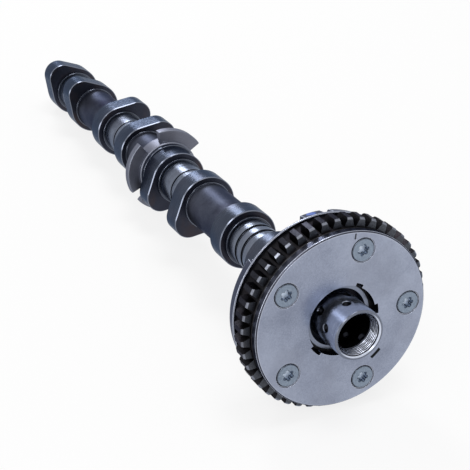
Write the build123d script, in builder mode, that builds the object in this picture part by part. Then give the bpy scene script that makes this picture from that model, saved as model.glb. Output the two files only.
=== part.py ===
from build123d import *
import math
import os

# Camshaft with an oil driven phase adjuster, in millimetres.
# The shaft lies along Y with its adjuster towards -Y, and the origin is at
# the middle of the first bearing journal. Angles are seen from the front,
# from +X towards +Z.

# Overshoot of a cut past the surface it opens
cut_margin = 1.0

# Shaft
cylinder_pitch = 88.0
cylinder_count = 4
lobe_spread = 19.5
lobe_width = 12.15
lobe_edge = 0.45
base_radius = 15.8
nose_lift = 6.3
nose_radius = 9.1
first_nose_angle = -50.6
nose_order = (0, 3, 1, 2)
quarter_turn = 90.0
core_radius = 12.4
journal_radius = 12.0
journal_length = 22.6
shoulder_radius = 13.1
relief_radius = 11.4
relief_width = 0.9
groove_depth = 0.8
groove_width = 1.9
feed_groove_spread = 3.3
fine_groove_width = 0.9
rear_stub_length = 11.0
rear_stub_chamfer = 1.5
centre_hole_radius = 2.6
centre_hole_depth = 9.0
plug_radius = 5.0
plug_depth = 4.0
plug_dish_radius = 3.7
plug_dish_depth = 2.0

# Front end of the shaft
tube_radius = 12.0
tube_length = 14.7
tube_edge = 0.5
thread_radius = 11.0
thread_core_radius = 10.2
thread_length = 7.0
valve_bore_radius = 9.6
valve_bore_length = 50.0
oil_hole_radius = 1.9
oil_hole_rows = ((5.6, 98.4), (-2.2, 148.0))
oil_hole_count = 5
rotor_seat_radius = 14.0
bearing_seat_radius = 15.5
seat_tail = 6.0
bearing_clearance = 0.05

# Trigger wheel between the second and third bearing journals
collar_radius = 16.4
collar_length = 2.2
wheel_hub_radius = 17.3
wheel_hub_length = 10.0
wheel_radius = 24.0
wheel_thickness = 4.6
wheel_set_back = 2.0
wheel_edge = 0.5
wheel_segment_angles = ((33.4, 101.4), (132.4, 205.4), (223.4, 336.4))

# Adjuster
cover_face_distance = 80.36
cover_overhang = 0.14
cover_thickness = 4.2
cover_front_edge = 0.7
cover_rear_edge = 0.4
opening_radius = 17.0
opening_notch_depth = 1.5
opening_notch_angles = ((6.9, 15.8), (62.8, 12.3), (-137.0, 20.0))
timing_mark_angle = 82.9
timing_mark_inset = 3.94
timing_mark_length = 2.9
timing_mark_width = 0.9
timing_mark_depth = 0.4
tooth_count = 46
tooth_angle = -10.82
tooth_root_radius = 42.6
tooth_height = 4.0
tooth_tip_land = 2.3
tooth_root_gap = 1.2
tooth_bevel = 0.8
tooth_length = 8.1
neck_length = 1.8
rear_neck_length = 5.5
housing_wall = 5.1
web_tip_gap = 0.3
web_half_angle = 14.0
web_fillet = 1.5
rear_overhang = 1.6
rear_thickness = 6.0
rear_taper = 1.1
rear_edge = 0.4
rear_lip = 1.2
rear_gap_angles = ((83.4, 88.1), (102.2, 141.4))
rear_gap_depth = 3.6
rear_gap_lean = 1.2

# Cover screws
screw_circle_inset = 8.71
screw_angle = 74.4
screw_count = 5
screw_radius = 3.0
screw_head_radius = 5.75
screw_head_edge = 0.5
screw_hole_clearance = 0.2
screw_head_clearance = 0.3
screw_reach = 5.2
socket_radius = 2.05
socket_lobe_radius = 0.75
socket_depth = 2.2

# Rotor, vanes and lock
rotor_wall = 0.8
side_gap = 0.1
vane_count = 5
vane_thickness = 5.0
vane_slot_clearance = 0.05
vane_tip_gap = 0.3
vane_slot_depth = 5.4
vane_spring_room = 1.0
vane_rest_margin = 1.1
spring_leaf = 0.35
spring_end_gap = 1.0
ring_gap = 0.9
ring_width = 2.2
ring_set_back = 4.1
ring_seat_depth = 5.0
ring_edge = 0.2
ring_notch_angle = 150.0
ring_notch_width = 5.0
lock_wall = 0.7
lock_pin_radius = 3.2
lock_pin_length = 8.0
lock_pin_edge = 0.4
lock_pin_bore = 2.1
lock_pin_bore_depth = 4.8
lock_cap_vent = 0.8
lock_bore_clearance = 0.05
lock_recess_depth = 3.0
lock_cap_length = 2.0
lock_spring_wire = 0.35
lock_spring_turns = 4

# Places that follow from the sizes above
nose_offset = base_radius + nose_lift - nose_radius
tooth_tip_radius = tooth_root_radius + tooth_height
cover_radius = tooth_root_radius + cover_overhang
rear_radius = tooth_root_radius + rear_overhang
chamber_radius = tooth_root_radius - housing_wall
screw_circle_radius = tooth_root_radius - screw_circle_inset
timing_mark_inner = cover_radius - timing_mark_inset
opening_notch_radius = opening_radius + opening_notch_depth
ring_outer_radius = opening_radius - ring_gap
ring_inner_radius = ring_outer_radius - ring_width
lock_circle_radius = ring_outer_radius + lock_wall + lock_pin_radius
rotor_radius = lock_circle_radius + lock_pin_radius + rotor_wall
web_tip_radius = rotor_radius + web_tip_gap
vane_slot_radius = rotor_radius - vane_slot_depth
vane_foot_radius = vane_slot_radius + vane_spring_room
cover_front = -cover_face_distance
cover_back = cover_front + cover_thickness
teeth_front = cover_back + neck_length
teeth_back = teeth_front + tooth_length
sprocket_back = teeth_back + rear_neck_length
rear_back = sprocket_back + rear_thickness
tube_end = cover_front - tube_length
rotor_front = cover_back + side_gap
rotor_back = sprocket_back - side_gap
rotor_length = rotor_back - rotor_front
seat_back = rear_back + seat_tail
last_journal = cylinder_pitch * (cylinder_count - 1)
last_lobe_back = last_journal + lobe_spread + lobe_width / 2
shaft_back = last_lobe_back + rear_stub_length
collar_front = cylinder_pitch + lobe_spread + lobe_width / 2
hub_front = collar_front + collar_length
wheel_front = hub_front + wheel_set_back
vane_half_angle = math.degrees(math.asin(vane_thickness / 2 / web_tip_radius))
vane_angle = screw_angle + web_half_angle + vane_half_angle + vane_rest_margin
lock_angle = vane_angle + 180 / vane_count
ring_front = cover_front + ring_set_back
ring_back = rotor_front + ring_seat_depth


def polar(radius, angle):
    turn = math.radians(angle)
    return (radius * math.cos(turn), radius * math.sin(turn))


def across(y, turn=0):
    # The plane square to the shaft at y, seen from the front and turned
    side_x, side_z = polar(1, turn)
    return Plane(origin=(0, y, 0), x_dir=(side_x, 0, side_z), z_dir=(0, -1, 0))


def journal_outline(middle, grooves):
    # Radius and place along the shaft of one ground journal, front to back
    half = journal_length / 2
    points = [
        (shoulder_radius, middle - lobe_spread),
        (shoulder_radius, middle - half),
        (relief_radius, middle - half),
        (relief_radius, middle - half + relief_width),
        (journal_radius, middle - half + relief_width),
    ]
    for place, width in grooves:
        front = middle + place - width / 2
        points += [
            (journal_radius, front),
            (journal_radius - groove_depth, front),
            (journal_radius - groove_depth, front + width),
            (journal_radius, front + width),
        ]
    points += [
        (journal_radius, middle + half - relief_width),
        (relief_radius, middle + half - relief_width),
        (relief_radius, middle + half),
        (shoulder_radius, middle + half),
        (shoulder_radius, middle + lobe_spread),
    ]
    return points


def shaft_outline():
    shoulder = lobe_spread + lobe_width / 2 + relief_width
    points = [
        (0, tube_end),
        (tube_radius - tube_edge, tube_end),
        (tube_radius, tube_end + tube_edge),
        (tube_radius, ring_back),
        (rotor_seat_radius, ring_back),
        (rotor_seat_radius, rotor_back),
        (bearing_seat_radius, rotor_back),
        (bearing_seat_radius, seat_back),
        (core_radius, seat_back + bearing_seat_radius - core_radius),
    ]
    for index in range(cylinder_count):
        middle = index * cylinder_pitch
        if index == 0:
            grooves = ((-feed_groove_spread, groove_width), (feed_groove_spread, groove_width))
        else:
            grooves = ((-feed_groove_spread, fine_groove_width),)
        points += [(core_radius, middle - shoulder), (shoulder_radius, middle - shoulder)]
        points += journal_outline(middle, grooves)
        points += [(shoulder_radius, middle + shoulder), (core_radius, middle + shoulder)]
    points += [
        (core_radius, shaft_back - rear_stub_chamfer),
        (core_radius - rear_stub_chamfer, shaft_back),
        (0, shaft_back),
    ]
    return points


# One cam lobe: base circle and nose circle joined by straight flanks
with BuildPart() as lobe:
    with BuildSketch():
        Circle(base_radius)
        with Locations((nose_offset, 0)):
            Circle(nose_radius)
        make_hull()
    extrude(amount=lobe_width / 2, both=True)
    chamfer(lobe.faces().filter_by(Axis.Z).edges(), lobe_edge)

# Shaft turned in one piece with its lobes, journals and hollow front end
with BuildPart() as camshaft:
    with BuildSketch(Plane.XY):
        with BuildLine():
            Polyline(*shaft_outline(), close=True)
        make_face()
    revolve(axis=Axis.Y)
    for index in range(cylinder_count):
        nose_angle = first_nose_angle + quarter_turn * nose_order[index]
        for side in (-1, 1):
            with Locations(across(index * cylinder_pitch + side * lobe_spread, nose_angle)):
                add(lobe.part)
    with BuildSketch(across(collar_front)):
        Circle(collar_radius)
    extrude(amount=-collar_length)
    # Threaded mouth and stepped valve bore
    bore_steps = [
        (0, tube_end),
        (thread_radius, tube_end),
        (thread_core_radius, tube_end + thread_radius - thread_core_radius),
        (thread_core_radius, tube_end + thread_length),
        (valve_bore_radius, tube_end + thread_length),
        (valve_bore_radius, tube_end + valve_bore_length),
        (0, tube_end + valve_bore_length + valve_bore_radius / 2),
    ]
    with BuildSketch(Plane.XY):
        with BuildLine():
            Polyline(*bore_steps, close=True)
        make_face()
    revolve(axis=Axis.Y, mode=Mode.SUBTRACT)
    # Rows of oil holes through the tube wall
    for height, angle in oil_hole_rows:
        for turn in range(oil_hole_count):
            lean = angle + 360 / oil_hole_count * turn
            side_x, side_z = polar(1, lean)
            wall = Plane(origin=(0, cover_front - height, 0), z_dir=(side_x, 0, side_z))
            with BuildSketch(wall):
                Circle(oil_hole_radius)
            extrude(amount=tube_radius + cut_margin, mode=Mode.SUBTRACT)
    # Plug seat and centre hole at the back
    with BuildSketch(across(shaft_back)):
        Circle(plug_radius)
    extrude(amount=plug_depth, mode=Mode.SUBTRACT)
    with BuildSketch(across(shaft_back - plug_depth)):
        Circle(centre_hole_radius)
    extrude(amount=centre_hole_depth, mode=Mode.SUBTRACT)

# Pressed plug that closes the back end, dished like a core plug
with BuildPart() as end_plug:
    with BuildSketch(across(shaft_back)):
        Circle(plug_radius)
    extrude(amount=plug_depth)
    with BuildSketch(across(shaft_back)):
        Circle(plug_dish_radius)
    extrude(amount=plug_dish_depth, mode=Mode.SUBTRACT)

# Trigger wheel pressed on the core: a hub and three flag segments
with BuildPart() as trigger_wheel:
    with BuildSketch(across(hub_front)):
        Circle(wheel_hub_radius)
    extrude(amount=-wheel_hub_length)
    chamfer(trigger_wheel.faces().filter_by(Axis.Y).edges(), wheel_edge)
    for start, end in wheel_segment_angles:
        with BuildSketch(across(wheel_front)):
            with BuildLine():
                Line((0, 0), polar(wheel_radius, start))
                ThreePointArc(
                    polar(wheel_radius, start),
                    polar(wheel_radius, (start + end) / 2),
                    polar(wheel_radius, end),
                )
                Line(polar(wheel_radius, end), (0, 0))
            make_face()
        extrude(amount=-wheel_thickness)
    rim = trigger_wheel.edges().filter_by(GeomType.CIRCLE)
    chamfer(rim.filter_by(lambda edge: abs(edge.radius - wheel_radius) < 0.01), wheel_edge)
    with BuildSketch(across(hub_front)):
        Circle(core_radius)
    extrude(amount=-wheel_hub_length, mode=Mode.SUBTRACT)

# Chain wheel and stator in one sintered piece
with BuildPart() as sprocket_housing:
    with BuildSketch(Plane.XY):
        with BuildLine():
            Polyline(
                (web_tip_radius, cover_back),
                (tooth_root_radius - cover_rear_edge, cover_back),
                (tooth_root_radius, cover_back + cover_rear_edge),
                (tooth_root_radius, teeth_front),
                (tooth_tip_radius - tooth_bevel, teeth_front),
                (tooth_tip_radius, teeth_front + tooth_bevel),
                (tooth_tip_radius, teeth_back - tooth_bevel),
                (tooth_tip_radius - tooth_bevel, teeth_back),
                (tooth_root_radius, teeth_back),
                (tooth_root_radius, sprocket_back),
                (web_tip_radius, sprocket_back),
                close=True,
            )
        make_face()
    revolve(axis=Axis.Y)
    # Gaps between the teeth
    tooth_pitch = 2 * math.pi * tooth_tip_radius / tooth_count
    gap_mouth = tooth_pitch - tooth_tip_land
    with BuildSketch(across(teeth_front)):
        with PolarLocations(0, tooth_count, start_angle=tooth_angle + 180 / tooth_count):
            Polygon(
                (tooth_root_radius, -tooth_root_gap / 2),
                (tooth_tip_radius, -gap_mouth / 2),
                (tooth_tip_radius + cut_margin, -gap_mouth / 2),
                (tooth_tip_radius + cut_margin, gap_mouth / 2),
                (tooth_tip_radius, gap_mouth / 2),
                (tooth_root_radius, tooth_root_gap / 2),
                align=None,
            )
    extrude(amount=-tooth_length, mode=Mode.SUBTRACT)
    # Five oil chambers between the webs
    with BuildSketch(across(cover_back)) as chambers:
        Circle(chamber_radius)
        Circle(web_tip_radius, mode=Mode.SUBTRACT)
        web_reach = 2 * chamber_radius
        with PolarLocations(0, screw_count, start_angle=screw_angle):
            Polygon(
                (0, 0),
                polar(web_reach, -web_half_angle),
                polar(web_reach, web_half_angle),
                align=None,
                mode=Mode.SUBTRACT,
            )
        outer = chambers.vertices().filter_by(
            lambda corner: Vector(corner.X, corner.Y).length > (chamber_radius + web_tip_radius) / 2
        )
        fillet(outer, web_fillet)
    extrude(amount=-(sprocket_back - cover_back), mode=Mode.SUBTRACT)
    with BuildSketch(across(cover_back)):
        with PolarLocations(screw_circle_radius, screw_count, start_angle=screw_angle):
            Circle(screw_radius + screw_hole_clearance)
    extrude(amount=-(sprocket_back - cover_back), mode=Mode.SUBTRACT)

# Countersunk hole for one cover screw, cut into the front cover
with BuildPart() as screw_seat:
    hole_radius = screw_radius + screw_hole_clearance
    mouth_radius = screw_head_radius + screw_head_clearance
    with BuildSketch(Plane.XZ):
        with BuildLine():
            Polyline(
                (0, 0),
                (mouth_radius, 0),
                (mouth_radius, -screw_head_edge),
                (screw_head_radius, -screw_head_edge),
                (hole_radius, -screw_head_edge - screw_head_radius + hole_radius),
                (hole_radius, -cover_thickness),
                (0, -cover_thickness),
                close=True,
            )
        make_face()
    revolve(axis=Axis.Z)

# Front cover plate, countersunk for five screws
with BuildPart() as front_cover:
    with BuildSketch(across(cover_front)):
        Circle(cover_radius)
        Circle(opening_radius, mode=Mode.SUBTRACT)
        for middle, width in opening_notch_angles:
            with BuildSketch(mode=Mode.SUBTRACT):
                with BuildLine():
                    inner = opening_radius - cut_margin
                    start = middle - width / 2
                    end = middle + width / 2
                    Polyline(
                        polar(inner, end),
                        polar(inner, start),
                        polar(opening_notch_radius, start),
                    )
                    ThreePointArc(
                        polar(opening_notch_radius, start),
                        polar(opening_notch_radius, middle),
                        polar(opening_notch_radius, end),
                    )
                    Line(polar(opening_notch_radius, end), polar(inner, end))
                make_face()
    extrude(amount=-cover_thickness)
    rim = front_cover.edges().filter_by(GeomType.CIRCLE)
    rim = rim.filter_by(lambda edge: abs(edge.radius - cover_radius) < 0.01).sort_by(Axis.Y)
    chamfer(rim[0], cover_front_edge)
    chamfer(rim[-1], cover_rear_edge)
    with Locations(across(cover_front)):
        with PolarLocations(screw_circle_radius, screw_count, start_angle=screw_angle):
            add(screw_seat.part, mode=Mode.SUBTRACT)
    with BuildSketch(across(cover_front)):
        with Locations(Rotation(0, 0, timing_mark_angle)):
            with Locations((timing_mark_inner + timing_mark_length / 2, 0)):
                Rectangle(timing_mark_length, timing_mark_width)
    extrude(amount=-timing_mark_depth, mode=Mode.SUBTRACT)

# Rear cover: the flange behind the teeth, which turns on the shaft. Its thin
# lip runs all the way round, and the band behind the lip has two gaps.
with BuildPart() as rear_cover:
    rear_bore = bearing_seat_radius + bearing_clearance
    with BuildSketch(Plane.XY):
        with BuildLine():
            Polyline(
                (rear_bore, sprocket_back),
                (rear_radius - rear_edge, sprocket_back),
                (rear_radius, sprocket_back + rear_edge),
                (rear_radius - rear_taper, rear_back - rear_edge),
                (rear_radius - rear_taper - rear_edge, rear_back),
                (rear_bore, rear_back),
                close=True,
            )
        make_face()
    revolve(axis=Axis.Y)
    with BuildSketch(across(sprocket_back + rear_lip)):
        gap_floor = rear_radius - rear_gap_depth
        gap_mouth_radius = rear_radius + cut_margin
        for start, end in rear_gap_angles:
            low = start - rear_gap_lean
            high = end + rear_gap_lean
            middle = (start + end) / 2
            with BuildLine():
                Line(polar(gap_floor, start), polar(gap_mouth_radius, low))
                ThreePointArc(
                    polar(gap_mouth_radius, low),
                    polar(gap_mouth_radius, middle),
                    polar(gap_mouth_radius, high),
                )
                Line(polar(gap_mouth_radius, high), polar(gap_floor, end))
                ThreePointArc(
                    polar(gap_floor, end), polar(gap_floor, middle), polar(gap_floor, start)
                )
            make_face()
    extrude(amount=-(rear_thickness - rear_lip), mode=Mode.SUBTRACT)
    with BuildSketch(across(sprocket_back)):
        with PolarLocations(screw_circle_radius, screw_count, start_angle=screw_angle):
            Circle(screw_radius)
    extrude(amount=-rear_thickness, mode=Mode.SUBTRACT)
    with BuildSketch(across(sprocket_back, lock_angle)):
        with Locations((lock_circle_radius, 0)):
            Circle(lock_pin_radius + 2 * lock_bore_clearance)
    extrude(amount=-lock_recess_depth, mode=Mode.SUBTRACT)

# Rotor pressed on the shaft, slotted for five vanes
with BuildPart() as rotor:
    with BuildSketch(across(rotor_front)):
        Circle(rotor_radius)
        Circle(rotor_seat_radius, mode=Mode.SUBTRACT)
        slot_width = vane_thickness + 2 * vane_slot_clearance
        slot_reach = vane_slot_depth + cut_margin
        with PolarLocations(vane_slot_radius + slot_reach / 2, vane_count, start_angle=vane_angle):
            Rectangle(slot_reach, slot_width, mode=Mode.SUBTRACT)
        with PolarLocations(lock_circle_radius, 1, start_angle=lock_angle):
            Circle(lock_pin_radius + lock_bore_clearance, mode=Mode.SUBTRACT)
    extrude(amount=-rotor_length)
    with BuildSketch(across(rotor_front)):
        Circle(ring_outer_radius)
    extrude(amount=-ring_seat_depth, mode=Mode.SUBTRACT)

# Ring let into the front of the rotor, seen round the tube inside the cover's opening
with BuildPart() as hub_ring:
    with BuildSketch(across(ring_front)):
        Circle(ring_outer_radius)
        Circle(ring_inner_radius, mode=Mode.SUBTRACT)
    extrude(amount=-(ring_back - ring_front))
    chamfer(hub_ring.faces().sort_by(Axis.Y)[0].edges(), ring_edge)
    with BuildSketch(across(ring_front, ring_notch_angle)):
        with Locations((ring_outer_radius, 0)):
            Rectangle(2 * ring_width + cut_margin, ring_notch_width)
    extrude(amount=-ring_seat_depth / 2, mode=Mode.SUBTRACT)

# One cover screw, made at its place by the first screw hole
with BuildPart() as screw:
    head_slope = screw_head_radius - screw_radius
    screw_end = -(sprocket_back - cover_front + screw_reach)
    with BuildSketch(Plane.XZ):
        with BuildLine():
            Polyline(
                (0, 0),
                (screw_head_radius - screw_head_edge, 0),
                (screw_head_radius, -screw_head_edge),
                (screw_radius, -screw_head_edge - head_slope),
                (screw_radius, screw_end + screw_head_edge),
                (screw_radius - screw_head_edge, screw_end),
                (0, screw_end),
                close=True,
            )
        make_face()
    revolve(axis=Axis.Z)
    with BuildSketch():
        Circle(socket_radius)
        with PolarLocations(socket_radius, 6):
            Circle(socket_lobe_radius)
    extrude(amount=-socket_depth, mode=Mode.SUBTRACT)

cover_screws = []
for index in range(screw_count):
    with BuildPart() as cover_screw:
        with Locations(across(cover_front)):
            with PolarLocations(
                screw_circle_radius, 1, start_angle=screw_angle - 360 / screw_count * index
            ):
                add(screw.part)
    cover_screws.append(cover_screw)

# Vanes and the leaf springs under them
vanes = []
vane_springs = []
for index in range(vane_count):
    turn = vane_angle + 360 / vane_count * index
    vane_tip_radius = chamber_radius - vane_tip_gap
    with BuildPart() as vane:
        with BuildSketch(across(rotor_front, turn)):
            Circle(vane_tip_radius)
            height = vane_tip_radius - vane_foot_radius + cut_margin
            with Locations((vane_foot_radius + height / 2, 0)):
                Rectangle(height, vane_thickness, mode=Mode.INTERSECT)
        extrude(amount=-rotor_length)
    vanes.append(vane)
    spring_middle = (rotor_front + rotor_back) / 2
    spring_half = rotor_length / 2 - spring_end_gap
    side_x, side_z = polar(1, turn)
    lengthwise = Plane(
        origin=(0, spring_middle, 0), x_dir=(side_x, 0, side_z), z_dir=(-side_z, 0, side_x)
    )
    with BuildPart() as vane_spring:
        with BuildSketch(lengthwise):
            with BuildLine():
                low = vane_slot_radius
                high = vane_slot_radius + vane_spring_room - spring_leaf
                ThreePointArc(
                    (low + spring_leaf, -spring_half),
                    (high + spring_leaf, 0),
                    (low + spring_leaf, spring_half),
                )
                Line((low + spring_leaf, spring_half), (low, spring_half))
                ThreePointArc((low, spring_half), (high, 0), (low, -spring_half))
                Line((low, -spring_half), (low + spring_leaf, -spring_half))
            make_face()
        extrude(amount=vane_thickness / 2 - 2 * vane_slot_clearance, both=True)
    vane_springs.append(vane_spring)

# Lock pin, its spring and the cap that closes its bore
lock_x, lock_z = polar(lock_circle_radius, lock_angle)
pin_back = rotor_back
pin_front = pin_back - lock_pin_length
with BuildPart() as lock_pin:
    with BuildSketch(across(pin_back)):
        with PolarLocations(lock_circle_radius, 1, start_angle=lock_angle):
            Circle(lock_pin_radius)
    extrude(amount=lock_pin_length)
    chamfer(lock_pin.faces().sort_by(Axis.Y)[-1].edges(), lock_pin_edge)
    with BuildSketch(across(pin_front)):
        with PolarLocations(lock_circle_radius, 1, start_angle=lock_angle):
            Circle(lock_pin_bore)
    extrude(amount=-lock_pin_bore_depth, mode=Mode.SUBTRACT)

with BuildPart() as lock_cap:
    with BuildSketch(across(rotor_front)):
        with PolarLocations(lock_circle_radius, 1, start_angle=lock_angle):
            Circle(lock_pin_radius + lock_bore_clearance)
            Circle(lock_cap_vent, mode=Mode.SUBTRACT)
    extrude(amount=-lock_cap_length)

spring_front = rotor_front + lock_cap_length
spring_back = pin_front + lock_pin_bore_depth
coil_radius = lock_pin_bore - 2 * lock_spring_wire
coil_length = spring_back - spring_front - 2 * lock_spring_wire
with BuildPart() as lock_spring:
    with BuildLine() as coil:
        Helix(
            coil_length / lock_spring_turns,
            coil_length,
            coil_radius,
            center=(lock_x, spring_front + lock_spring_wire, lock_z),
            direction=(0, 1, 0),
        )
    with BuildSketch(Plane(origin=coil.edge() @ 0, z_dir=coil.edge() % 0)):
        Circle(lock_spring_wire)
    sweep(path=coil.edge(), is_frenet=True)

pieces = {
    "camshaft": camshaft,
    "end_plug": end_plug,
    "trigger_wheel": trigger_wheel,
    "sprocket_housing": sprocket_housing,
    "front_cover": front_cover,
    "rear_cover": rear_cover,
    "rotor": rotor,
    "hub_ring": hub_ring,
    "lock_pin": lock_pin,
    "lock_spring": lock_spring,
    "lock_cap": lock_cap,
}
for index in range(screw_count):
    pieces[f"cover_screw_{index + 1}"] = cover_screws[index]
for index in range(vane_count):
    pieces[f"vane_{index + 1}"] = vanes[index]
    pieces[f"vane_spring_{index + 1}"] = vane_springs[index]

os.makedirs("parts", exist_ok=True)
for name, piece in pieces.items():
    piece.part.label = name
    export_step(piece.part, f"parts/{name}.step")
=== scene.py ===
import math

import bmesh
import bpy
from mathutils import Matrix, Vector


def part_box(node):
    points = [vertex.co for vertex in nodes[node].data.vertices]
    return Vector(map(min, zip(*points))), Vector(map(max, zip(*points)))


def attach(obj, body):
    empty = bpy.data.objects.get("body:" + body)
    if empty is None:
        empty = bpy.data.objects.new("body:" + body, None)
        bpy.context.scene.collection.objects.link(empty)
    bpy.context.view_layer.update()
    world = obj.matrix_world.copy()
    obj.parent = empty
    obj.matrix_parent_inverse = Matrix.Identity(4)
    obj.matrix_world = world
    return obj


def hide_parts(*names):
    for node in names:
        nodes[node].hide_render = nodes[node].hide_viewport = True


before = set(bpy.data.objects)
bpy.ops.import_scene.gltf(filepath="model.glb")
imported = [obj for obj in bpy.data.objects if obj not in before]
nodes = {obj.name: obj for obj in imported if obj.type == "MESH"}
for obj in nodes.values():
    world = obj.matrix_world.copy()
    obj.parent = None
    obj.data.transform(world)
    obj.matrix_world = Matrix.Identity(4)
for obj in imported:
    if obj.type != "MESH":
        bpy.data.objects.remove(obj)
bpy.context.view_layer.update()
mm = 0.001
weldDistance = 0.001 * mm
print("frame loaded:", len(nodes), "nodes")


class Signal:
    # One output socket: arithmetic on it adds Math nodes to its finish
    def __init__(self, finish, socket):
        self.finish = finish
        self.socket = socket

    def calculate(self, operation, *values):
        return self.finish.add("ShaderNodeMath", {"operation": operation}, dict(enumerate(values)))

    def sibling(self, output):
        return Signal(self.finish, self.socket.node.outputs[output])

    def atLeast(self, low):
        return self.calculate("MAXIMUM", self, low)

    def __abs__(self):
        return self.calculate("ABSOLUTE", self)

    def __add__(self, other):
        return self.calculate("ADD", self, other)

    def __radd__(self, other):
        return self.calculate("ADD", other, self)

    def __sub__(self, other):
        return self.calculate("SUBTRACT", self, other)

    def __rsub__(self, other):
        return self.calculate("SUBTRACT", other, self)

    def __mul__(self, other):
        return self.calculate("MULTIPLY", self, other)

    def __rmul__(self, other):
        return self.calculate("MULTIPLY", other, self)

    def __truediv__(self, other):
        return self.calculate("DIVIDE", self, other)

    def __rtruediv__(self, other):
        return self.calculate("DIVIDE", other, self)

    def __pow__(self, other):
        return self.calculate("POWER", self, other)

    def __rpow__(self, other):
        return self.calculate("POWER", other, self)


# Detail and roughness of each kind of noise
noiseKinds = {"marks": (4.0, 0.6), "mottle": (5.0, 0.6), "grain": (2.0, 0.7), "stain": (3.0, 0.6)}


class Finish:
    # The nodes of one material, or of the world
    def __init__(self, owner):
        owner.use_nodes = True
        self.owner = owner
        self.tree = owner.node_tree
        self.tree.nodes.clear()

    def add(self, kind, settings=None, values=None, output=0):
        # One node: its settings first, then the values or links of its sockets
        node = self.tree.nodes.new(kind)
        for key, value in (settings or {}).items():
            setattr(node, key, value)
        for key, value in (values or {}).items():
            if isinstance(value, Signal):
                self.tree.links.new(value.socket, node.inputs[key])
            else:
                node.inputs[key].default_value = value
        return Signal(self, node.outputs[output]) if len(node.outputs) else None

    def mixColors(self, factor, first, second):
        # Sockets 6 and 7 are the colour inputs of a Mix node, and 2 is its colour output
        pair = [color if isinstance(color, Signal) else (*color, 1) for color in (first, second)]
        return self.add(
            "ShaderNodeMix", {"data_type": "RGBA"}, {0: factor, 6: pair[0], 7: pair[1]}, output=2
        )

    def clamped(self, value):
        return self.add("ShaderNodeClamp", None, {"Value": value})

    def position(self):
        return self.add("ShaderNodeTexCoord", output="Object")

    def split(self, vector):
        x = self.add("ShaderNodeSeparateXYZ", None, {"Vector": vector})
        return x, x.sibling("Y"), x.sibling("Z")

    def noise(self, kind, vector, scale):
        # Swings about 0, by half at most
        detail, roughness = noiseKinds[kind]
        values = {"Vector": vector, "Scale": scale, "Detail": detail, "Roughness": roughness}
        return self.add("ShaderNodeTexNoise", {"noise_dimensions": "3D"}, values) - 0.5

    def turningMarks(self, look):
        # Fine lines that run round the shaft: along it on a cylinder, outwards on a side face
        x, y, z = self.split(self.position())
        radius = (x * x + z * z) ** 0.5
        near = radius.atLeast(0.1 * mm)  # so that nothing is divided by 0 on the axis
        pitch = y * look["along"] + radius * look["out"]
        corners = {
            "X": x / near * look["markAround"],
            "Y": pitch * look["markScale"],
            "Z": z / near * look["markAround"],
        }
        return self.noise("marks", self.add("ShaderNodeCombineXYZ", None, corners), 1.0)

    def bump(self, height, look):
        return self.add(
            "ShaderNodeBump",
            None,
            {"Height": height, "Strength": look["bumpStrength"], "Distance": look["bumpDistance"]},
        )

    def surface(self, **sockets):
        values = {name.replace("_", " "): value for name, value in sockets.items()}
        shader = self.add("ShaderNodeBsdfPrincipled", None, values)
        self.add("ShaderNodeOutputMaterial", None, {"Surface": shader})
        return self.owner


def steelFinish(name, look):
    # Metal with turning marks, soft mottling, warm stains and fine grain
    finish = Finish(bpy.data.materials.new(name))
    place = finish.position()
    marks = finish.turningMarks(look)
    mottle = finish.noise("mottle", place, look["mottleScale"])
    grain = finish.noise("grain", place, look["grainScale"])
    # Half-way from dark to light, and moved by each pattern
    shade = finish.clamped(
        0.5 + marks * look["markShade"] + mottle * look["mottleShade"] + grain * look["grainShade"]
    )
    stain = finish.clamped(finish.noise("stain", place, look["stainScale"]) * look["stainContrast"])
    clean = finish.mixColors(shade, look["dark"], look["light"])
    return finish.surface(
        Base_Color=finish.mixColors(stain * look["stainShare"], clean, look["stain"]),
        Metallic=look["metallic"],
        Roughness=finish.clamped(
            look["roughness"] + marks * look["markRough"] + mottle * look["mottleRough"]
        ),
        Specular_Tint=(*look["tint"], 1),
        Normal=finish.bump(marks * look["markBump"] + grain * look["grainBump"], look),
    )


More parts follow.
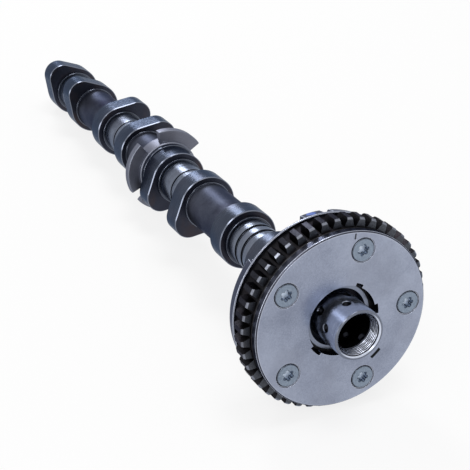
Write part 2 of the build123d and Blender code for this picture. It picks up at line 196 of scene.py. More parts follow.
plainSteel = {
    "dark": (0.10, 0.11, 0.14),
    "light": (0.22, 0.24, 0.29),
    "stain": (0.06, 0.05, 0.055),
    "stainScale": 55.0,
    "stainContrast": 5.0,
    "stainShare": 0.3,
    "tint": (0.55, 0.60, 0.70),
    "metallic": 1.0,
    "roughness": 0.28,
    "along": 1.0,  # how much the turning marks change along the shaft
    "out": 0.0,  # and how much outwards
    "markAround": 1.5,  # a larger value gives shorter marks
    "markScale": 4200.0,
    "mottleScale": 60.0,
    "grainScale": 1400.0,
    "markShade": 0.5,
    "mottleShade": 0.7,
    "grainShade": 0.3,
    "markRough": 0.12,
    "mottleRough": 0.15,
    "markBump": 1.0,
    "grainBump": 0.25,
    "bumpStrength": 0.8,
    "bumpDistance": 0.06 * mm,
}
sharedSteels = {
    # Painted shade: near-black steel in grooves, reliefs, thread roots, recesses and under the screw
    # heads
    "grooveShade": {
        "dark": (0.006, 0.007, 0.010), "light": (0.024, 0.027, 0.036), "roughness": 0.5,
        "tint": (0.2, 0.22, 0.26),
    },
    # Painted shade: darker steel on the front cover's round side and chamfer and on the screw heads'
    # broken edges
    "rimShade": {
        "dark": (0.020, 0.022, 0.032), "light": (0.085, 0.092, 0.122), "roughness": 0.28,
        "tint": (0.4, 0.42, 0.5),
    },
    "brokenEdge": {
        "dark": (0.08, 0.09, 0.12), "light": (0.24, 0.265, 0.33), "roughness": 0.2,
        "tint": (0.8, 0.85, 0.95), "stainShare": 0.0, "markBump": 0.0,
    },
    # Painted highlight: bright steel on the broken edges of the front and rear covers
    "edgeHighlight": {
        "dark": (0.34, 0.37, 0.46), "light": (0.62, 0.66, 0.78), "roughness": 0.22,
        "tint": (0.9, 0.95, 1.0), "stainShare": 0.0, "markBump": 0.0,
    },
    "turnedShoulder": {
        "dark": (0.035, 0.040, 0.055), "light": (0.12, 0.135, 0.17), "roughness": 0.28,
    },
}
finishes = {}


def addSteels(steels):
    # Each steel says only what it changes of the plain one
    for name, changes in steels.items():
        finishes[name] = steelFinish(name, plainSteel | changes)


addSteels(sharedSteels)
print("shared steels made:", len(finishes))


def polar(radius, angle):
    turn = math.radians(angle)
    return radius * math.cos(turn), radius * math.sin(turn)


def radiusOf(place):
    return math.hypot(place.x, place.z) / mm


def addToScene(name, data):
    thing = bpy.data.objects.new(name, data)
    bpy.context.scene.collection.objects.link(thing)
    return thing


def newPiece(name, mesh, body, slotName, *replaced):
    piece = addToScene(name, mesh)
    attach(piece, body)
    if replaced:
        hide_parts(*replaced)
    return piece


def softened(outline, cut, edgeFinish, plainFinishes=(), steps=3, longestShare=0.4):
    # Rounds each corner of an outline of (radius, place, finish) points. With the
    # metal on its right, outward corners take the finish of a broken edge, but
    # not beside a stretch with one of the plain finishes
    rounded = [outline[0]]
    for before, corner, after in zip(outline, outline[1:], outline[2:]):
        here = Vector(corner[:2])
        back = Vector(before[:2]) - here
        ahead = Vector(after[:2]) - here
        reach = min(cut, back.length * longestShare, ahead.length * longestShare)
        start = here + back.normalized() * reach
        end = here + ahead.normalized() * reach
        outward = ahead.x * back.y - ahead.y * back.x > 0
        bright = outward and before[2] not in plainFinishes and corner[2] not in plainFinishes
        for step in range(steps + 1):
            t = step / steps
            spot = start * (1 - t) ** 2 + here * 2 * t * (1 - t) + end * t ** 2
            finishName = edgeFinish if bright else before[2]
            rounded.append((spot.x, spot.y, corner[2] if step == steps else finishName))
    rounded.append(outline[-1])
    return rounded


def addRing(builder, points, place):
    return [builder.verts.new((x * mm, place * mm, z * mm)) for x, z in points]


def joinRings(builder, rings, look, finishAt):
    # Faces between each ring and the next, with the finish named for their row and step
    for row, (lower, upper) in enumerate(zip(rings, rings[1:])):
        for step in range(len(lower)):
            follow = (step + 1) % len(lower)
            face = builder.faces.new((lower[step], upper[step], upper[follow], lower[follow]))
            face.material_index = look["finishes"].index(finishAt(row, step))


def lathe(builder, outline, look):
    # Turns an outline round the shaft; each point's finish is for the stretch after it
    count = look["segments"]
    rings = []
    for radius, place, finishName in outline:
        circle = [polar(radius, 360 * step / count) for step in range(count)]
        rings.append(addRing(builder, circle, place))
    joinRings(builder, rings, look, lambda row, step: outline[row][2])


def makeMesh(builder, name, look):
    mesh = bpy.data.meshes.new(name)
    builder.to_mesh(mesh)
    builder.free()
    for finishName in look["finishes"]:
        mesh.materials.append(finishes[finishName])
    return mesh


def smooth(mesh, sharpAngle):
    mesh.shade_smooth()
    mesh.set_sharp_from_angle(angle=math.radians(sharpAngle))


def makeTurned(builder, name, look):
    # Its faces look outwards, and only its corners are sharp
    bmesh.ops.recalc_face_normals(builder, faces=builder.faces[:])
    mesh = makeMesh(builder, name, look)
    smooth(mesh, look["sharpAngle"])
    return mesh


# Front tube, in millimetres
tube = {
    "outer": 12.0,
    "edge": 0.5,
    "mouth": 11.0,
    "core": 10.2,
    "bore": 9.6,
    "boreLength": 50.0,
    "corner": 0.15,
    "holeRadius": 1.9,
    "holeBevel": 0.35,
    "holeRows": ((9.1, 98.4), (16.9, 148.0)),  # depth from the mouth and first angle of each
    "holeCount": 5,
    "holeSegments": 40,
    "drillStart": 8.0,
    "drillEnd": 13.0,
    "segments": 144,
    "sharpAngle": 14.0,
    "cutSharpAngle": 30.0,
    "finishes": ("turnedTube", "boreShade", "brokenEdge"),
    "steels": {
        "turnedTube": {
            "dark": (0.40, 0.435, 0.535), "light": (0.78, 0.83, 0.95), "roughness": 0.24,
            "tint": (0.9, 0.95, 1.0), "stainShare": 0.1, "markShade": 1.5, "mottleShade": 0.8,
            "bumpStrength": 0.4,
        },
        # Painted shade: near-black steel inside the bore, in the oil holes and on the tube's back end
        "boreShade": {
            "dark": (0.006, 0.007, 0.009), "light": (0.026, 0.028, 0.036), "roughness": 0.34,
            "tint": (0.3, 0.3, 0.34),
        },
    },
}
addSteels(tube["steels"])

# Turns of the thread inside the mouth, in millimetres
thread = {
    "length": 7.0,
    "pitch": 1.0,
    "depth": 0.36,
    "rootShare": 0.55,
    "clearance": 0.02,
    "stepsPerTurn": 12,
    "segments": 144,
    "sharpAngle": 60.0,
    "finishes": ("turnedTube", "grooveShade"),
}
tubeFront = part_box("camshaft")[0].y / mm


def tubeOutline():
    # From the bottom of the bore out through the mouth and back along the outside
    bottom = tubeFront + tube["boreLength"]
    back = bottom + tube["bore"]
    return [
        (0, bottom + tube["bore"] / 2, "boreShade"),
        (tube["bore"], bottom, "boreShade"),
        (tube["bore"], tubeFront + thread["length"], "boreShade"),
        (tube["core"], tubeFront + thread["length"], "boreShade"),
        (tube["core"], tubeFront + tube["mouth"] - tube["core"], "turnedTube"),
        (tube["mouth"], tubeFront, "brokenEdge"),
        (tube["outer"] - tube["edge"], tubeFront, "brokenEdge"),
        (tube["outer"], tubeFront + tube["edge"], "turnedTube"),
        (tube["outer"], back, "boreShade"),
        (0, back, "boreShade"),
    ]


def buildTube():
    builder = bmesh.new()
    lathe(builder, softened(tubeOutline(), tube["corner"], "brokenEdge"), tube)
    bmesh.ops.remove_doubles(builder, verts=builder.verts[:], dist=weldDistance)
    return makeTurned(builder, "tubeWall", tube)


def addDrills(builder, place, angle):
    # A straight drill, and a wider one that breaks the hole's outer edge
    bevelStart = tube["outer"] - tube["holeBevel"]
    bevelRadius = tube["holeRadius"] + tube["drillEnd"] - bevelStart
    x, z = polar(1, angle)
    outward = Vector((x, 0, z))
    facing = outward.to_track_quat("Z", "Y").to_matrix().to_4x4()
    # Painted shade: the hole's wall takes the near-black bore steel
    drills = (
        (tube["drillStart"], tube["holeRadius"], "boreShade"),
        (bevelStart, bevelRadius, "brokenEdge"),
    )
    for start, endRadius, finishName in drills:
        middle = Vector((0, place, 0)) + outward * (start + tube["drillEnd"]) / 2
        cone = bmesh.ops.create_cone(
            builder,
            cap_ends=True,
            segments=tube["holeSegments"],
            radius1=tube["holeRadius"] * mm,
            radius2=endRadius * mm,
            depth=(tube["drillEnd"] - start) * mm,
            matrix=Matrix.Translation(middle * mm) @ facing,
        )
        for vert in cone["verts"]:
            for face in vert.link_faces:
                face.material_index = tube["finishes"].index(finishName)


def cutOilHoles(wall):
    builder = bmesh.new()
    for depth, firstAngle in tube["holeRows"]:
        for turn in range(tube["holeCount"]):
            addDrills(builder, tubeFront + depth, firstAngle + 360 / tube["holeCount"] * turn)
    cutter = addToScene("holeCutter", makeMesh(builder, "holeCutter", tube))
    cut = wall.modifiers.new("oilHoles", "BOOLEAN")
    cut.operation = "DIFFERENCE"
    cut.solver = "EXACT"
    cut.use_self = True
    cut.object = cutter
    bpy.context.view_layer.update()
    carved = bpy.data.meshes.new_from_object(wall.evaluated_get(bpy.context.evaluated_depsgraph_get()))
    wall.modifiers.clear()
    wall.data = carved
    bpy.data.objects.remove(cutter)
    carved.set_sharp_from_angle(angle=math.radians(tube["cutSharpAngle"]))


def ripple(turns):
    # 1 at whole turns and 0 half-way between them
    return abs(turns % 1.0 * 2 - 1)


def buildThread():
    # Helical turns standing in from the mouth, drawn as a rippled sleeve
    builder = bmesh.new()
    mouthDepth = tube["mouth"] - tube["core"]
    length = thread["length"] - mouthDepth
    count = thread["segments"]
    rows = int(thread["length"] / thread["pitch"] * thread["stepsPerTurn"])
    rise = length / rows / thread["pitch"]
    root = tube["core"] - thread["clearance"]
    rings = []
    for row in range(rows + 1):
        points = []
        for step in range(count):
            wave = ripple(row * rise - step / count)
            points.append(polar(root - thread["depth"] * wave, 360 * step / count))
        rings.append(addRing(builder, points, tubeFront + mouthDepth + length * row / rows))

    def finishAt(row, step):
        # Painted shade: the thread's roots take the near-black groove steel
        isRoot = ripple((row + 0.5) * rise - (step + 0.5) / count) < thread["rootShare"]
        return "grooveShade" if isRoot else "turnedTube"

    joinRings(builder, rings, thread, finishAt)
    return makeTurned(builder, "threadTurns", thread)


# Shaft, lobes and journals, in millimetres along the shaft
shaft = {
    "pitch": 88.0,  # from one cylinder to the next
    "lobeSpread": 19.5,  # from a cylinder's middle to each of its lobes
    "lobeWidth": 12.15,
    "lobeEdge": 0.45,
    "base": 15.8,
    "noseRadius": 9.1,
    "noseOffset": 13.0,
    "noseAngles": (-50.6, 219.4, 39.4, 129.4),  # one for each cylinder
    "arcSteps": 40,
    "flankSteps": 4,
    "core": 12.4,
    "journal": 12.0,
    "journalLength": 22.6,
    "shoulder": 13.1,
    "relief": 11.4,
    "reliefWidth": 0.9,
    "grooveDepth": 0.8,
    "grooveWidth": 1.9,
    "grooveSpread": 3.3,
    "fineGroove": 0.9,
    "rotorSeat": 14.0,
    "bearingSeat": 15.5,
    "seatTail": 6.0,  # behind the rear cover
    "collar": 16.4,
    "collarLength": 2.2,
    "stubChamfer": 1.5,
    "plug": 5.0,
    "edge": 0.2,
    "segments": 144,
    "sharpAngle": 14.0,
    "finishes": ("castCore", "groundJournal", "grooveShade", "groundLobe", "lobeSide",
                 "turnedShoulder", "brokenEdge"),
    "steels": {
        "castCore": {
            "dark": (0.026, 0.029, 0.041), "light": (0.104, 0.113, 0.149), "roughness": 0.44,
            "tint": (0.35, 0.37, 0.44), "stain": (0.022, 0.019, 0.026), "stainShare": 0.6,
            "markShade": 0.1, "mottleShade": 1.1, "grainShade": 0.7, "markBump": 0.1,
            "grainBump": 1.0, "bumpStrength": 0.5, "bumpDistance": 0.1 * mm,
        },
        "groundJournal": {
            "dark": (0.045, 0.052, 0.072), "light": (0.270, 0.300, 0.370), "roughness": 0.25,
            "stain": (0.035, 0.030, 0.040), "stainShare": 0.45, "markShade": 1.1,
            "mottleShade": 0.8, "grainShade": 0.1,
        },
        "groundLobe": {
            "dark": (0.028, 0.032, 0.044), "light": (0.088, 0.099, 0.130), "roughness": 0.26,
            "tint": (0.45, 0.5, 0.6), "markShade": 0.9, "mottleShade": 0.9,
        },
        "lobeSide": {
            "dark": (0.019, 0.021, 0.031), "light": (0.064, 0.070, 0.098), "roughness": 0.4,
            "tint": (0.3, 0.33, 0.42), "stain": (0.068, 0.050, 0.049), "stainShare": 0.7,
            "along": 0.0, "out": 1.0, "mottleShade": 1.1, "markBump": 0.4,
        },
    },
}
addSteels(shaft["steels"])


def journalOutline(middle, grooves):
    # A relief at each end, and grooves of (offset, width) between them
    half = shaft["journalLength"] / 2
    relief = half - shaft["reliefWidth"]
    floor = shaft["journal"] - shaft["grooveDepth"]
    # Painted shade: the reliefs and the walls of the grooves take the near-black groove steel
    points = [
        (shaft["shoulder"], middle - half, "turnedShoulder"),
        (shaft["relief"], middle - half, "grooveShade"),
        (shaft["relief"], middle - relief, "grooveShade"),
        (shaft["journal"], middle - relief, "groundJournal"),
    ]
    for offset, width in grooves:
        front = middle + offset - width / 2
        points += [
            (shaft["journal"], front, "grooveShade"),
            (floor, front, "turnedShoulder"),
            (floor, front + width, "grooveShade"),
            (shaft["journal"], front + width, "groundJournal"),
        ]
    return points + [
        (shaft["journal"], middle + relief, "grooveShade"),
        (shaft["relief"], middle + relief, "grooveShade"),
        (shaft["relief"], middle + half, "turnedShoulder"),
        (shaft["shoulder"], middle + half, "turnedShoulder"),
    ]


def shaftOutline():
    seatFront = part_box("hub_ring")[1].y / mm
    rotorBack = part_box("rotor")[1].y / mm
    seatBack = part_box("rear_cover")[1].y / mm + shaft["seatTail"]
    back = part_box("camshaft")[1].y / mm
    points = [
        # Painted shade: the step beside the back of the tube takes the near-black groove steel
        (tube["outer"], seatFront, "grooveShade"),
        (shaft["rotorSeat"], seatFront, "turnedShoulder"),
        (shaft["rotorSeat"], rotorBack, "turnedShoulder"),
        (shaft["bearingSeat"], rotorBack, "turnedShoulder"),
        (shaft["bearingSeat"], seatBack, "castCore"),
        (shaft["core"], seatBack + shaft["bearingSeat"] - shaft["core"], "castCore"),
    ]
    reach = shaft["lobeSpread"] + shaft["lobeWidth"] / 2 + shaft["reliefWidth"]
    for index in range(len(shaft["noseAngles"])):
        middle = index * shaft["pitch"]
        grooves = [(-shaft["grooveSpread"], shaft["fineGroove"])]
        if index == 0:
            grooves = [(side * shaft["grooveSpread"], shaft["grooveWidth"]) for side in (-1, 1)]
        points.append((shaft["core"], middle - reach, "turnedShoulder"))
        points.append((shaft["shoulder"], middle - reach, "turnedShoulder"))
        points += journalOutline(middle, grooves)
        points.append((shaft["shoulder"], middle + reach, "turnedShoulder"))
        points.append((shaft["core"], middle + reach, "castCore"))
    return points + [
        (shaft["core"], back - shaft["stubChamfer"], "castCore"),
        (shaft["core"] - shaft["stubChamfer"], back, "turnedShoulder"),
        (shaft["plug"], back, "turnedShoulder"),
    ]


def arcPoints(centre, radius, start, sweep, steps):
    return [centre + Vector(polar(radius, start + sweep * step / steps)) for step in range(steps + 1)]


def flankPoints(start, end):
    # Between the two ends and without them
    count = shaft["flankSteps"]
    return [start.lerp(end, step / count) for step in range(1, count)]


def lobeOutline(nose):
    # Base circle and nose circle joined by straight flanks
    slope = math.degrees(math.acos((shaft["base"] - shaft["noseRadius"]) / shaft["noseOffset"]))
    steps = shaft["arcSteps"]
    noseCentre = Vector(polar(shaft["noseOffset"], nose))
    tip = arcPoints(noseCentre, shaft["noseRadius"], nose - slope, 2 * slope, steps)
    base = arcPoints(Vector((0, 0)), shaft["base"], nose + slope, 360 - 2 * slope, 2 * steps)
    return tip + flankPoints(tip[-1], base[0]) + base + flankPoints(base[-1], tip[0])


def addLobe(builder, middle, nose):
    # Four rings give the ground flank between two broken edges
    outline = lobeOutline(nose)
    half = shaft["lobeWidth"] / 2
    edge = shaft["lobeEdge"]
    rings = []
    for place, inset in ((-half, edge), (edge - half, 0.0), (half - edge, 0.0), (half, edge)):
        inner = [point * (1 - inset / point.length) for point in outline]
        rings.append(addRing(builder, inner, middle + place))
    joinRings(builder, rings, shaft, lambda row, step: "groundLobe" if row == 1 else "brokenEdge")
    for ring in (rings[0], rings[-1]):
        builder.faces.new(ring).material_index = shaft["finishes"].index("lobeSide")


def buildShaft():
    builder = bmesh.new()
    lathe(builder, softened(shaftOutline(), shaft["edge"], "brokenEdge", ("grooveShade",)), shaft)
    for index, nose in enumerate(shaft["noseAngles"]):
        for side in (-1, 1):
            addLobe(builder, index * shaft["pitch"] + side * shaft["lobeSpread"], nose)
    collarFront = shaft["pitch"] + shaft["lobeSpread"] + shaft["lobeWidth"] / 2
    collarBack = collarFront + shaft["collarLength"]
    collar = [
        (shaft["core"], collarFront, "turnedShoulder"),
        (shaft["collar"], collarFront, "turnedShoulder"),
        (shaft["collar"], collarBack, "turnedShoulder"),
        (shaft["core"], collarBack, "turnedShoulder"),
    ]
    lathe(builder, softened(collar, shaft["edge"], "brokenEdge"), shaft)
    return makeTurned(builder, "shaftBody", shaft)


newPiece("shaft_body", buildShaft(), "shaft", "ground_steel", "camshaft")
print("shaft built")
cutOilHoles(newPiece("tube_wall", buildTube(), "shaft", "turned_steel"))
newPiece("thread_turns", buildThread(), "shaft", "turned_steel")
print("tube, oil holes and thread built")


# How the nodes that are dressed have their faces merged and their edges broken
dressing = {"flatAngle": 0.6, "sharpAngle": 30.0, "bevelAngle": 32.0, "bevelSegments": 2}


def weighEdges(builder, look):
    # Edges of the teeth are rounded wider than the rest of the node
    weight = builder.edges.layers.float.new("bevel_weight_edge")
    for edge in builder.edges:
        if edge.is_manifold and edge.calc_face_angle() > math.radians(dressing["bevelAngle"]):
            middle = (edge.verts[0].co + edge.verts[1].co) / 2
            isTooth = radiusOf(middle) > look["roundStart"]
            edge[weight] = 1.0 if isTooth else look["edge"] / look["toothEdge"]


def dress(nodeName, body, slotName, look, finishOf=None):
    # The node's own form with its edges broken. They take the last finish, or on
    # teeth the finish beside them
    builder = bmesh.new()
    builder.from_mesh(nodes[nodeName].data)
    bmesh.ops.remove_doubles(builder, verts=builder.verts[:], dist=weldDistance)
    bmesh.ops.dissolve_limit(
        builder,
        angle_limit=math.radians(dressing["flatAngle"]),
        verts=builder.verts[:],
        edges=builder.edges[:],
    )
    if "toothEdge" in look:
        weighEdges(builder, look)
    mesh = makeMesh(builder, nodeName + "Shape", look)
    if "custom_normal" in mesh.attributes:
        mesh.attributes.remove(mesh.attributes["custom_normal"])
    smooth(mesh, dressing["sharpAngle"])
    for polygon in mesh.polygons:
        finishName = finishOf(polygon.center, polygon.normal) if finishOf else look["finishes"][0]
        polygon.material_index = look["finishes"].index(finishName)
    piece = newPiece(nodeName + "_shape", mesh, body, slotName, nodeName)
    bevel = piece.modifiers.new("brokenEdges", "BEVEL")
    bevel.limit_method = "ANGLE"
    bevel.angle_limit = math.radians(dressing["bevelAngle"])
    bevel.width = look["edge"] * mm
    bevel.segments = dressing["bevelSegments"]
    bevel.harden_normals = True
    bevel.material = len(look["finishes"]) - 1
    if "toothEdge" in look:
        bevel.limit_method = "WEIGHT"
        bevel.width = look["toothEdge"] * mm
        bevel.segments = look["toothSegments"]
        bevel.material = -1


# Trigger wheel, ring and plug, with their broken edges in millimetres
triggerWheel = {
    "edge": 0.16,
    "finishes": ("sensorWheel", "brokenEdge"),
    "steels": {
        "sensorWheel": {
            "dark": (0.115, 0.122, 0.155), "light": (0.245, 0.256, 0.312), "roughness": 0.46,
            "tint": (0.5, 0.52, 0.6), "along": 0.4, "out": 1.0, "markShade": 0.3,
            "grainShade": 0.6, "markBump": 0.3, "stainShare": 0.15,
        },
    },
}
hubRing = {
    "edge": 0.1,
    "finishes": ("turnedRing", "brokenEdge"),
    "steels": {
        "turnedRing": {
            "dark": (0.14, 0.16, 0.215), "light": (0.27, 0.30, 0.38), "roughness": 0.28,
            "tint": (0.8, 0.85, 0.95), "along": 0.5, "out": 1.0, "markBump": 0.3,
        },
    },
}
endPlug = {"edge": 0.15, "finishes": ("turnedShoulder", "brokenEdge")}
addSteels(triggerWheel["steels"] | hubRing["steels"])
dress("trigger_wheel", "shaft", "wheel_steel", triggerWheel)
dress("hub_ring", "shaft", "turned_steel", hubRing)
dress("end_plug", "shaft", "plated_steel", endPlug)
print("wheel, ring and plug dressed")


# Chain wheel: its faces are told apart by radius and by how far they look along the shaft, and take
# lit and shaded copies of one steel, which is painted light and shade
teeth = {
    "faceStart": 42.8,
    "roundStart": 43.5,
    "cornerStart": 44.5,
    "landStart": 46.2,
    "faceNormal": 0.95,
    "cornerNormal": 0.3,
    "edge": 0.14,
    "toothEdge": 0.42,
    "toothSegments": 3,
    "finishes": ("sinteredTeeth", "toothLandSheen", "toothHighlight", "litToothFace"),
    "steels": {
        "sinteredTeeth": {
            "dark": (0.006, 0.006, 0.007), "light": (0.038, 0.037, 0.040), "roughness": 0.42,
            "tint": (0.35, 0.35, 0.38), "markShade": 0.15, "grainShade": 1.1,
            "markBump": 0.2, "grainBump": 1.2, "bumpDistance": 0.08 * mm,
        },
        # Painted light: the teeth's front faces, lighter than the rest of the wheel
        "litToothFace": {
            "dark": (0.035, 0.039, 0.047), "light": (0.125, 0.135, 0.158), "roughness": 0.4,
            "tint": (0.6, 0.62, 0.68), "grainShade": 1.1, "markBump": 0.2, "grainBump": 1.0,
        },
        # Painted sheen: the lands on the teeth, a little lighter than the flanks
        "toothLandSheen": {
            "dark": (0.009, 0.0095, 0.012), "light": (0.046, 0.048, 0.058), "roughness": 0.34,
            "tint": (0.5, 0.5, 0.55), "grainShade": 1.1, "markBump": 0.2, "grainBump": 1.0,
        },
        # Painted highlight: the broken front corners of the teeth
        "toothHighlight": {
            "dark": (0.09, 0.097, 0.12), "light": (0.30, 0.32, 0.38), "roughness": 0.3,
            "grainShade": 1.0, "markBump": 0.2,
        },
    },
}


def toothFinish(place, normal):
    # Front faces and lands of the teeth, and their front corners: painted light on the faces, a
    # painted sheen on the lands and a painted highlight on the corners
    radius = radiusOf(place)
    if normal.y < -teeth["faceNormal"] and radius > teeth["faceStart"]:
        return "litToothFace"
    if radius < teeth["cornerStart"] or abs(normal.y) > teeth["faceNormal"]:
        return "sinteredTeeth"
    if normal.y < -teeth["cornerNormal"]:
        return "toothHighlight"
    return "toothLandSheen" if radius > teeth["landStart"] else "sinteredTeeth"


addSteels(teeth["steels"])
dress("sprocket_housing", "adjuster_housing", "sintered_steel", teeth, toothFinish)
print("chain wheel dressed")


# Front cover: satin, with faint clouds and one thin dark arc of painted shade beside the tube, where
# nothing is cut
cover = {
    "dark": (0.205, 0.230, 0.308),
    "light": (0.390, 0.430, 0.540),
    "cloud": (0.205, 0.222, 0.285),
    "cloudScale": 36.0,
    "cloudContrast": 5.0,
    "cloudShare": 0.4,
    "tint": (0.9, 0.95, 1.0),
    "mottleScale": 30.0,
    "mottleShade": 2.0,
    "mottleRough": 0.15,
    "grainScale": 1500.0,
    "grainShade": 0.8,
    "roughness": 0.27,
    "bumpStrength": 0.15,
    "bumpDistance": 0.02 * mm,
    # Painted shade: a thin dark arc drawn in the colour of the front face beside the tube
    "shadeArc": (0.010, 0.012, 0.013),
    "shadeArcRadius": 27.6 * mm,
    "shadeArcAngle": -49.0,
    "shadeArcLength": 5.8 * mm,
    "shadeArcWidth": 1.7 * mm,
    "shadeArcSharpness": 9000.0,
    "recessStart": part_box("front_cover")[0].y + 0.12 * mm,
    "seatWallEnd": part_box("front_cover")[0].y + 0.5 * mm,
    "seatStart": 20.0,
    "seatEnd": 38.0,
    "sideStart": 41.9,  # this radius and the two above are in millimetres
    "faceNormal": 0.9,
    "wallNormal": 0.3,
    "edge": 0.12,
    # The last finish, on the broken edges, is a painted highlight
    "finishes": ("satinPlate", "grooveShade", "rimShade", "edgeHighlight"),
}


def coverShadeArcShare(finish):
    # Painted shade: 1 on a short arc of the front face, and 0 elsewhere
    x, y, z = finish.split(finish.position())
    cosine, sine = polar(1, cover["shadeArcAngle"])
    sharpness = cover["shadeArcSharpness"]
    ahead = x * cosine + z * sine
    across = abs(z * cosine - x * sine)
    offset = abs((x * x + z * z) ** 0.5 - cover["shadeArcRadius"])
    inBand = finish.clamped((cover["shadeArcWidth"] / 2 - offset) * sharpness)
    inSpan = finish.clamped((cover["shadeArcLength"] / 2 - across) * sharpness)
    return inBand * inSpan * finish.clamped(ahead * sharpness)


def makeCoverFinish():
    finish = Finish(bpy.data.materials.new("satinPlate"))
    place = finish.position()
    mottle = finish.noise("mottle", place, cover["mottleScale"])
    grain = finish.noise("grain", place, cover["grainScale"])
    cloud = finish.clamped(finish.noise("stain", place, cover["cloudScale"]) * cover["cloudContrast"])
    shade = finish.clamped(0.5 + mottle * cover["mottleShade"] + grain * cover["grainShade"])
    plain = finish.mixColors(shade, cover["dark"], cover["light"])
    clouded = finish.mixColors(cloud * cover["cloudShare"], plain, cover["cloud"])
    return finish.surface(
        Base_Color=finish.mixColors(coverShadeArcShare(finish), clouded, cover["shadeArc"]),
        Metallic=1.0,
        Roughness=finish.clamped(cover["roughness"] + mottle * cover["mottleRough"]),
        Specular_Tint=(*cover["tint"], 1),
        Normal=finish.bump(grain, cover),
    )


def coverFinish(place, normal):
    # Front and the rims of the screw seats, then what lies below, then the round side. Painted shade:
    # what lies below the front, except the seat walls, is near-black, and the round side with its
    # chamfer is darker than the front
    radius = radiusOf(place)
    if abs(normal.y) < cover["faceNormal"] and radius > cover["sideStart"]:
        return "rimShade"
    if place.y < cover["recessStart"]:
        return "satinPlate"
    isWall = abs(normal.y) < cover["wallNormal"] and place.y < cover["seatWallEnd"]
    isSeat = cover["seatStart"] < radius < cover["seatEnd"]
    return "satinPlate" if isWall and isSeat else "grooveShade"


finishes["satinPlate"] = makeCoverFinish()
dress("front_cover", "adjuster_housing", "cover_steel", cover, coverFinish)
print("front cover dressed")


# The flange has a dab of blue marking paint beside its notch
flange = {
    "dark": (0.026, 0.029, 0.042),
    "light": (0.105, 0.114, 0.150),
    "tint": (0.5, 0.52, 0.6),
    "along": 0.6,
    "out": 1.0,
    "markAround": 1.5,
    "markScale": 2200.0,
    "markShade": 0.6,
    "mottleScale": 90.0,
    "mottleShade": 0.7,
    "mottleRough": 0.2,
    "roughness": 0.34,
    "bumpStrength": 0.2,
    "bumpDistance": 0.05 * mm,
    "paint": (0.02, 0.09, 0.42),
    "paintAngle": 95.8,
    "paintRadius": 43.7 * mm,
    "paintPlace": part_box("rear_cover")[0].y + 3.4 * mm,
    "paintSize": 2.4 * mm,
    "paintRough": 0.15,
    "paintSharpness": 2500.0,
    "raggedScale": 700.0,
    "raggedSize": 2.0 * mm,
    "edge": 0.16,
    # The last finish, on the broken edges, is a painted highlight
    "finishes": ("paintedFlange", "edgeHighlight"),
}


def makeFlangeFinish():
    finish = Finish(bpy.data.materials.new("paintedFlange"))
    place = finish.position()
    x, y, z = finish.split(place)
    paintX, paintZ = polar(flange["paintRadius"], flange["paintAngle"])
    offset = ((x - paintX) ** 2.0 + (y - flange["paintPlace"]) ** 2.0 + (z - paintZ) ** 2.0) ** 0.5
    ragged = finish.noise("stain", place, flange["raggedScale"]) * flange["raggedSize"]
    paint = finish.clamped((flange["paintSize"] - offset + ragged) * flange["paintSharpness"])
    marks = finish.turningMarks(flange)
    mottle = finish.noise("mottle", place, flange["mottleScale"])
    shade = finish.clamped(0.5 + marks * flange["markShade"] + mottle * flange["mottleShade"])
    metal = finish.mixColors(shade, flange["dark"], flange["light"])
    return finish.surface(
        Base_Color=finish.mixColors(paint, metal, flange["paint"]),
        Metallic=1 - paint,
        Roughness=finish.clamped(
            flange["roughness"] + mottle * flange["mottleRough"] + paint * flange["paintRough"]
        ),
        Specular_Tint=(*flange["tint"], 1),
        Normal=finish.bump(marks + paint, flange),
    )


finishes["paintedFlange"] = makeFlangeFinish()
dress("rear_cover", "adjuster_housing", "flange_steel", flange)
print("rear cover dressed")


# Cover screws, each with a six-lobe socket
screw = {
    "count": 5,
    "faceNormal": 0.9,
    "wallNormal": 0.3,
    "edge": 0.2,
    # The last finish, on the broken edges of the head, is painted shade
    "finishes": ("platedScrew", "litSocketWall", "grooveShade", "litSocketFloor", "rimShade"),
    "steels": {
        "platedScrew": {
            "dark": (0.145, 0.182, 0.240), "light": (0.31, 0.37, 0.46), "roughness": 0.28,
            "tint": (0.9, 0.95, 1.0), "stainShare": 0.1, "markShade": 0.1, "mottleShade": 0.4,
            "grainShade": 1.2, "markBump": 0.1, "grainBump": 0.8, "bumpStrength": 0.3,
        },
        # Painted light: the socket's floor, much lighter than the head
        "litSocketFloor": {
            "dark": (0.50, 0.58, 0.70), "light": (0.80, 0.88, 1.0), "roughness": 0.5,
            "tint": (0.9, 0.95, 1.0), "stainShare": 0.0, "markShade": 0.0, "markBump": 0.0,
        },
        # Painted light: the socket's walls, lighter than the head
        "litSocketWall": {
            "dark": (0.19, 0.225, 0.285), "light": (0.32, 0.37, 0.45), "roughness": 0.42,
            "tint": (0.9, 0.95, 1.0), "stainShare": 0.0, "markShade": 0.0, "markBump": 0.0,
        },
    },
}


def screwFinish(place, normal):
    # The head's face, then the socket's floor and walls in painted light, lighter than the head, and
    # the slope under the head in near-black painted shade
    if place.y < cover["recessStart"]:
        return "platedScrew"
    if normal.y < -screw["faceNormal"]:
        return "litSocketFloor"
    return "litSocketWall" if abs(normal.y) < screw["wallNormal"] else "grooveShade"


addSteels(screw["steels"])
for index in range(screw["count"]):
    dress(f"cover_screw_{index + 1}", "adjuster_housing", "screw_steel", screw, screwFinish)
print("cover screws dressed:", screw["count"])


# Pieces inside the adjuster keep their own form and take a finish
vaneCount = 5
inner = {
    "rotor": "sinteredTeeth",
    "lock_pin": "turnedShoulder",
    "lock_cap": "turnedShoulder",
    "lock_spring": "turnedShoulder",
}
inner |= {f"vane_{index + 1}": "groundLobe" for index in range(vaneCount)}
inner |= {f"vane_spring_{index + 1}": "turnedShoulder" for index in range(vaneCount)}
for nodeName, finishName in inner.items():
    nodes[nodeName].data.materials.clear()
    nodes[nodeName].data.materials.append(finishes[finishName])
print("inner nodes finished:", len(inner))


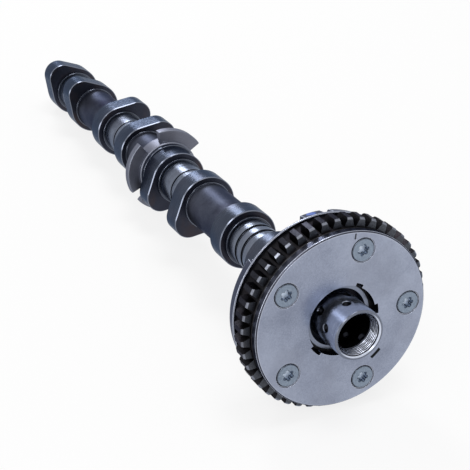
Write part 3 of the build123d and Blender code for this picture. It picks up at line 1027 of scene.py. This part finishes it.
# The part lies on the chain wheel's rim and on its last lobe
studio = {
    "floorSize": 12.0,
    "floorShade": 0.95,
    "rimRadius": 46.6 * mm,
    "rimPlace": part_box("sprocket_housing")[0].y + 9.1 * mm,
    "glow": 0.82,  # share of plain white where the floor is seen directly
    "worldLight": 0.45,  # strength of the world as a light
    "lampAim": (0, 0.08, 0),
    "lamps": {
        "backLamp": {"place": (0.18, 1.35, 0.98), "size": 0.42, "power": 8.0},
        "topLamp": {"place": (0.1, -0.2, 1.3), "size": 0.5, "power": 5.0},
        "leftLamp": {"place": (-1.2, -0.35, 0.2), "size": 0.5, "power": 2.4},
        "frontLamp": {"place": (-0.69, -0.8, 0.9), "size": 0.4, "power": 2.6},
    },
    "cameraPlace": (-0.25106, -0.49340, 0.26389),
    "cameraAim": (0.3932, 0.8180, -0.4192),
    "lens": 95.23,
    "sensor": 36.0,
    "clipStart": 0.01,
    "clipEnd": 50.0,
}


def seenDirectly(finish):
    # 1 for rays from the camera, and for reflected or transmitted ones
    camera = finish.add("ShaderNodeLightPath", output="Is Camera Ray")
    glossy = camera.sibling("Is Glossy Ray")
    transmitted = camera.sibling("Is Transmission Ray")
    return finish.clamped(camera + glossy + transmitted)


def floorFinish():
    # Matt and glowing from above, and clear from below
    finish = Finish(bpy.data.materials.new("paleFloor"))
    shade = studio["floorShade"]
    matt = finish.add("ShaderNodeBsdfDiffuse", None, {"Color": (shade, shade, shade, 1)})
    glow = finish.add("ShaderNodeEmission", None, {"Color": (1, 1, 1, 1), "Strength": 1.0})
    share = seenDirectly(finish) * studio["glow"]
    lit = finish.add("ShaderNodeMixShader", None, {0: share, 1: matt, 2: glow})
    clear = finish.add("ShaderNodeBsdfTransparent")
    back = finish.add("ShaderNodeNewGeometry", output="Backfacing")
    both = finish.add("ShaderNodeMixShader", None, {0: back, 1: lit, 2: clear})
    finish.add("ShaderNodeOutputMaterial", None, {"Surface": both})
    return finish.owner


def buildFloor():
    lastLobe = (len(shaft["noseAngles"]) - 1) * shaft["pitch"] + shaft["lobeSpread"]
    lobeBack = lastLobe + shaft["lobeWidth"] / 2 - shaft["lobeEdge"]
    rise = studio["rimRadius"] - shaft["base"] * mm
    run = lobeBack * mm - studio["rimPlace"]
    half = studio["floorSize"] / 2
    corners = [(-half, -half, 0), (half, -half, 0), (half, half, 0), (-half, half, 0)]
    mesh = bpy.data.meshes.new("floor")
    mesh.from_pydata(corners, [], [(0, 1, 2, 3)])
    mesh.materials.append(floorFinish())
    floor = addToScene("floor", mesh)
    rim = Matrix.Translation((0, studio["rimPlace"], -studio["rimRadius"]))
    floor.matrix_world = rim @ Matrix.Rotation(math.atan2(rise, run), 4, "X")


def addLamp(name, look):
    lamp = bpy.data.lights.new(name, "AREA")
    lamp.size = look["size"]
    lamp.energy = look["power"]
    holder = addToScene(name, lamp)
    holder.location = look["place"]
    aim = Vector(studio["lampAim"]) - holder.location
    holder.rotation_euler = aim.to_track_quat("-Z", "Y").to_euler()


def buildWorld():
    # White where it is seen directly, and dimmer as a light
    world = bpy.data.worlds.new("studioWorld")
    bpy.context.scene.world = world
    sky = Finish(world)
    seen = seenDirectly(sky)
    strength = seen + (1 - seen) * studio["worldLight"]
    light = sky.add("ShaderNodeBackground", None, {"Color": (1, 1, 1, 1), "Strength": strength})
    sky.add("ShaderNodeOutputWorld", None, {"Surface": light})


def buildCamera():
    lens = bpy.data.cameras.new("camera")
    lens.sensor_width = studio["sensor"]
    lens.lens = studio["lens"]
    lens.clip_start = studio["clipStart"]
    lens.clip_end = studio["clipEnd"]
    camera = addToScene("camera", lens)
    camera.location = studio["cameraPlace"]
    camera.rotation_euler = Vector(studio["cameraAim"]).to_track_quat("-Z", "Y").to_euler()
    bpy.context.scene.camera = camera


buildFloor()
for lampName, lampLook in studio["lamps"].items():
    addLamp(lampName, lampLook)
buildWorld()
buildCamera()
bpy.context.scene.view_settings.view_transform = "Standard"
print("studio built")
